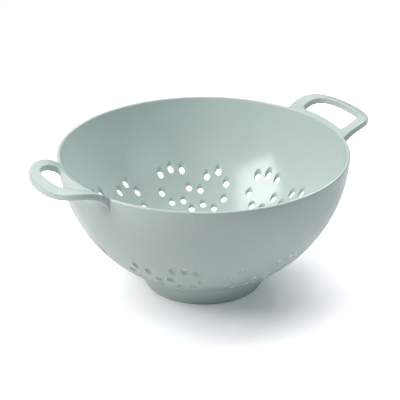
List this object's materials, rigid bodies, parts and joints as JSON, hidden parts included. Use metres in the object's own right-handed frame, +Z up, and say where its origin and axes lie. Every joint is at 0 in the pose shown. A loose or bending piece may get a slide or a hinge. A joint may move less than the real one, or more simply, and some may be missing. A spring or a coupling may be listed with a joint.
{
  "type": "colander",
  "caption": "Round plastic colander with rings of drain holes in its bowl, a tapered foot ring and rising loop handles at the rim.",
  "frame": {"origin": "centre of the foot ring's underside, on the surface that the colander stands on", "axes": "+X from the bowl's axis towards the right handle, +Z up through the open mouth"},
  "size_m": [0.311, 0.2438, 0.1279],
  "materials": {
    "moulding": "smooth glossy moulded melamine, pale sage green"
  },
  "bodies": {
    "root": {"bowl": "moulding", "foot_ring": "moulding", "left_handle": "moulding", "right_handle": "moulding"}
  },
  "joints": []
}
